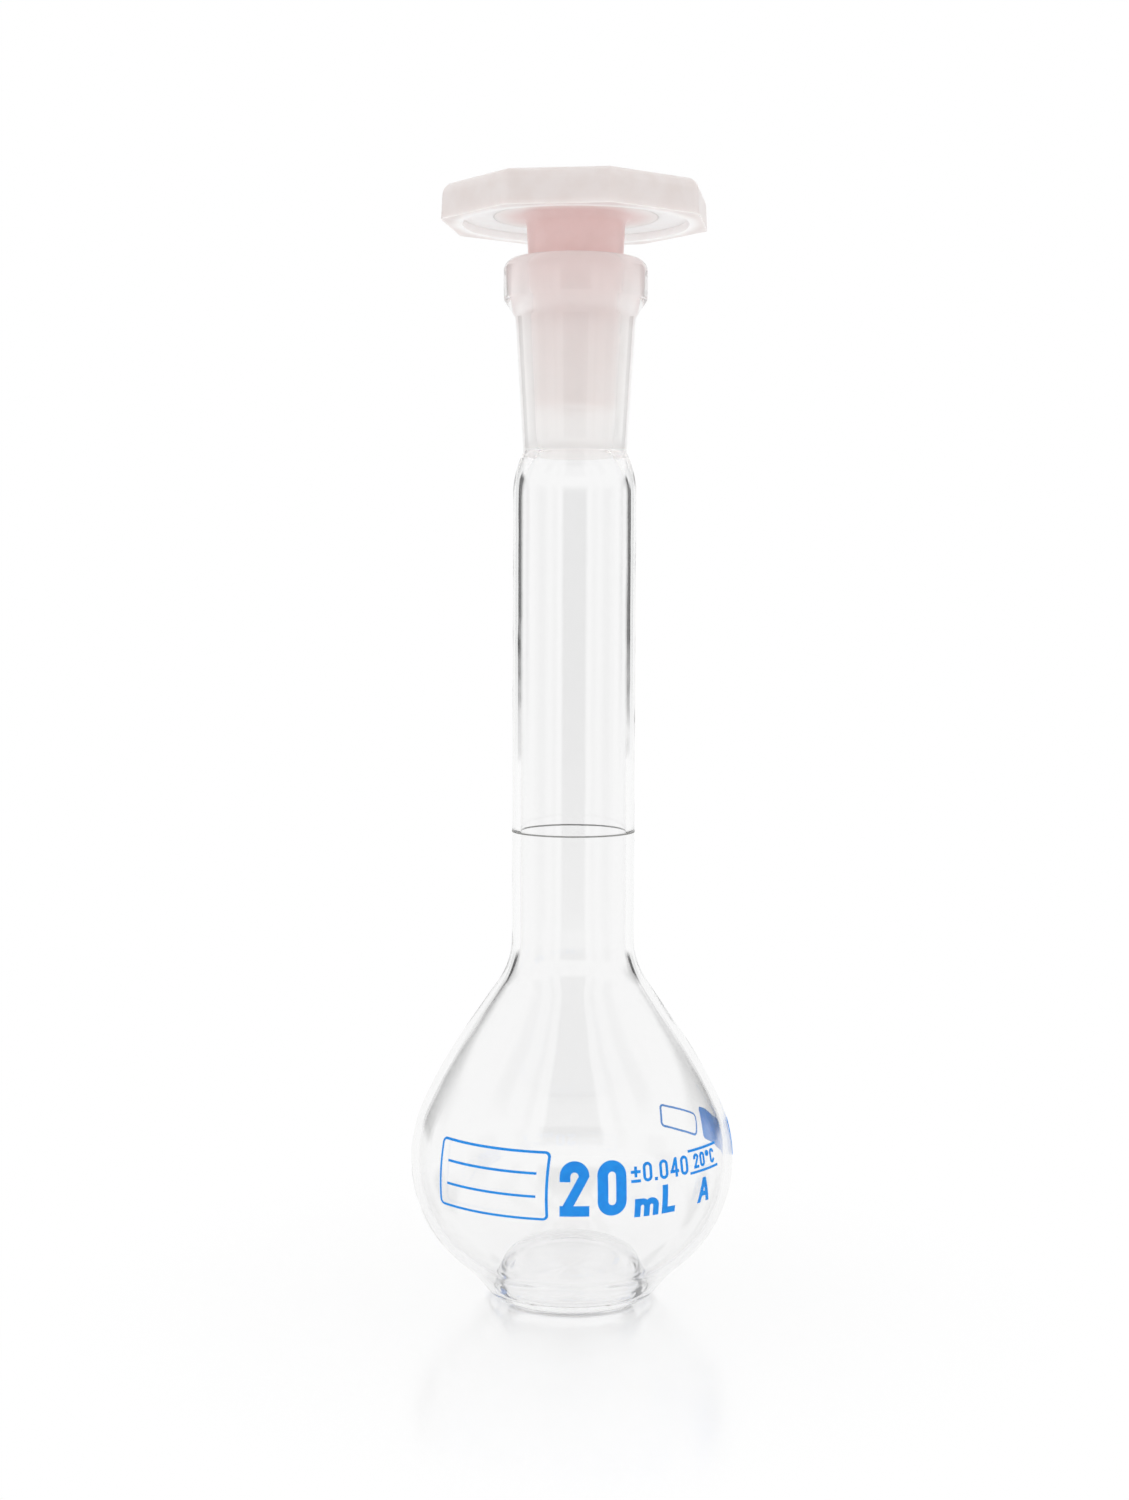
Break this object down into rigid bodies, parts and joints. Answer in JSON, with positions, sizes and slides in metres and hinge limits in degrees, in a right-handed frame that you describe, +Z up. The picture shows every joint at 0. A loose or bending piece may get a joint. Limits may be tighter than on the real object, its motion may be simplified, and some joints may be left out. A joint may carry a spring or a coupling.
{
  "type": "volumetric flask",
  "caption": "Small glass volumetric flask with a round bulb, a narrow neck with a ring mark, a ground socket and a lift-out octagonal plastic stopper.",
  "frame": {"origin": "centre of the foot ring, on the plane it stands on", "axes": "+Z up along the flask's axis, -Y the printed front"},
  "size_m": [0.0349, 0.0349, 0.1187],
  "materials": {
    "clear_glass": "blown borosilicate glass, fire-polished",
    "ground_glass": "borosilicate glass, ground inside to a fine frost",
    "grey_enamel": "thin fired line",
    "blue_enamel": "fired-on enamel print, satin",
    "pink_polyethylene": "moulded, translucent",
    "milky_polyethylene": "moulded, translucent"
  },
  "bodies": {
    "flask": {"bulb": "clear_glass", "neck_tube": "clear_glass", "ground_socket": "ground_glass", "graduation_ring": "grey_enamel", "capacity_number": "blue_enamel", "capacity_unit": "blue_enamel", "tolerance_mark": "blue_enamel", "class_mark": "blue_enamel", "temperature_mark": "blue_enamel", "write_on_field": "blue_enamel", "rear_field": "blue_enamel", "marking_spot": "blue_enamel"},
    "stopper_plug": {"stopper_plug": "pink_polyethylene"},
    "stopper_head": {"stopper_head": "milky_polyethylene"}
  },
  "joints": [
    {"name": "stopper_lift", "type": "slide", "parent": "flask", "child": "stopper_plug", "axis": [0, 0, 1], "range_m": [0, 0.03]},
    {"name": "stopper_twist", "type": "hinge", "parent": "stopper_plug", "child": "stopper_head", "pos_m": [0, 0, 0.1164], "axis": [0, 0, 1], "continuous": true}
  ]
}
